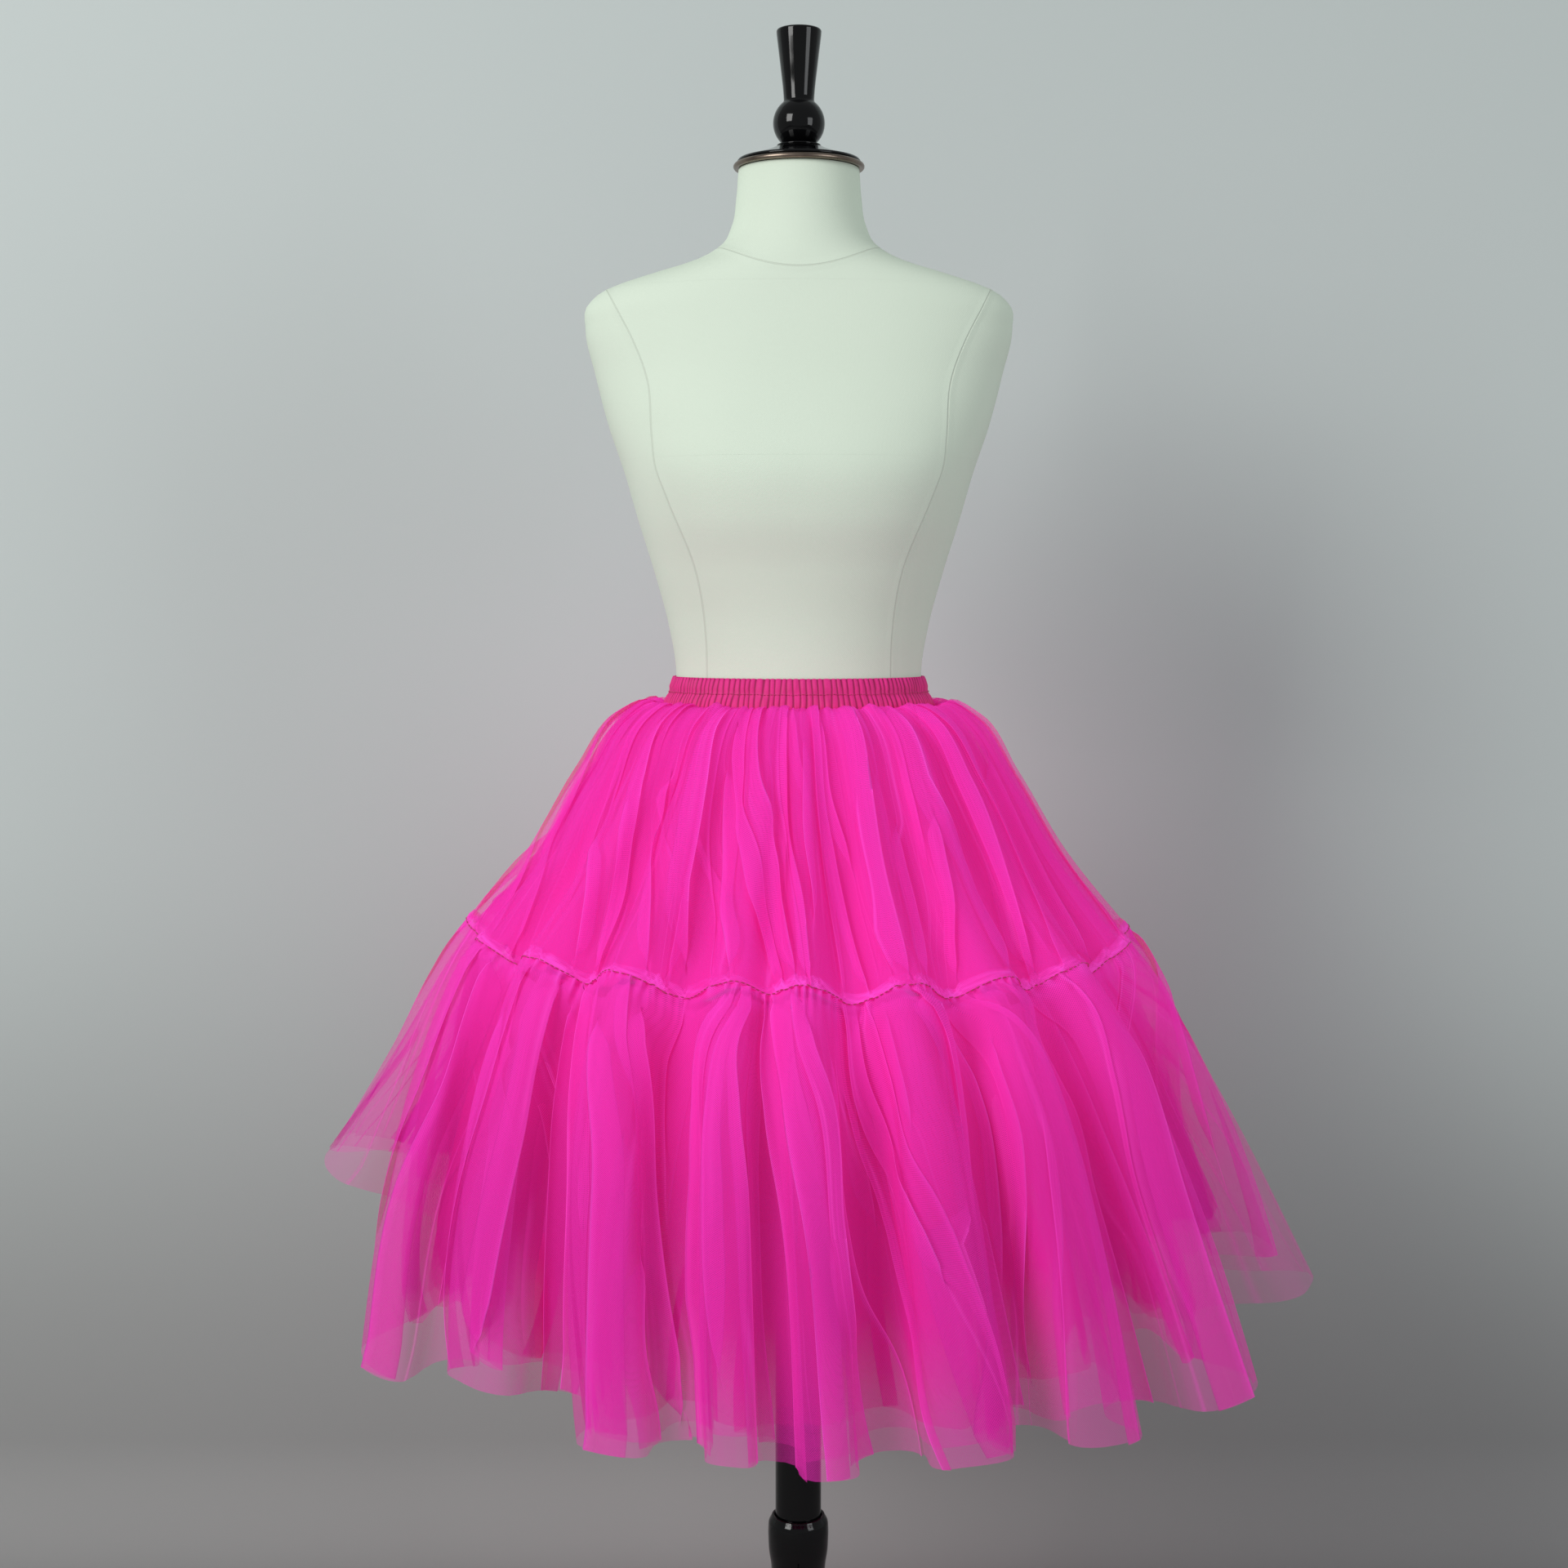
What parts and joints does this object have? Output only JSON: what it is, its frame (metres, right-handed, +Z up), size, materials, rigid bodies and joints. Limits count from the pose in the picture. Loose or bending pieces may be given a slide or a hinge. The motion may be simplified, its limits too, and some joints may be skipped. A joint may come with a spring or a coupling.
{
  "type": "two-tier tulle tutu skirt on a limbless dress form with a turned stand",
  "caption": "Knee-length tutu skirt of gathered net in two tiers on an elastic waistband, worn by a limbless dress form with a turned neck cap, pole and three-legged stand.",
  "frame": {"origin": "on the floor, under the middle of the object's outline seen from above, which is the axis of the pole", "axes": "+Z up along the pole; the front of the form and the skirt faces -Y, and +X is to the viewer's right"},
  "size_m": [0.9313, 0.9091, 1.6535],
  "materials": {
    "tulle": "hot pink tulle net, matt with bright fold edges",
    "tulle_inner": "the under-skirt's tulle, a shade deeper",
    "waistband": "woven satin-backed cloth gathered over elastic",
    "form_jersey": "off-white jersey over a hard form",
    "black_lacquer": "black gloss lacquer on turned wood",
    "bronze": "dark bronzed metal"
  },
  "bodies": {
    "stand": {"post": "black_lacquer", "leg_1": "black_lacquer", "leg_2": "black_lacquer", "leg_3": "black_lacquer"},
    "pole": {"pole": "black_lacquer"},
    "form": {"form_body": "form_jersey", "cap_lip": "bronze", "neck_cap": "black_lacquer", "finial": "black_lacquer", "waistband": "waistband", "upper_tier": "tulle", "lower_tier": "tulle", "inner_upper_tier": "tulle_inner", "inner_lower_tier": "tulle_inner"}
  },
  "joints": [
    {"name": "height_slide", "type": "slide", "parent": "stand", "child": "pole", "axis": [0, 0, 1], "range_m": [-0.05, 0.1]},
    {"name": "form_swivel", "type": "hinge", "parent": "pole", "child": "form", "pos_m": [0, 0, 0.74], "axis": [0, 0, 1], "continuous": true}
  ]
}
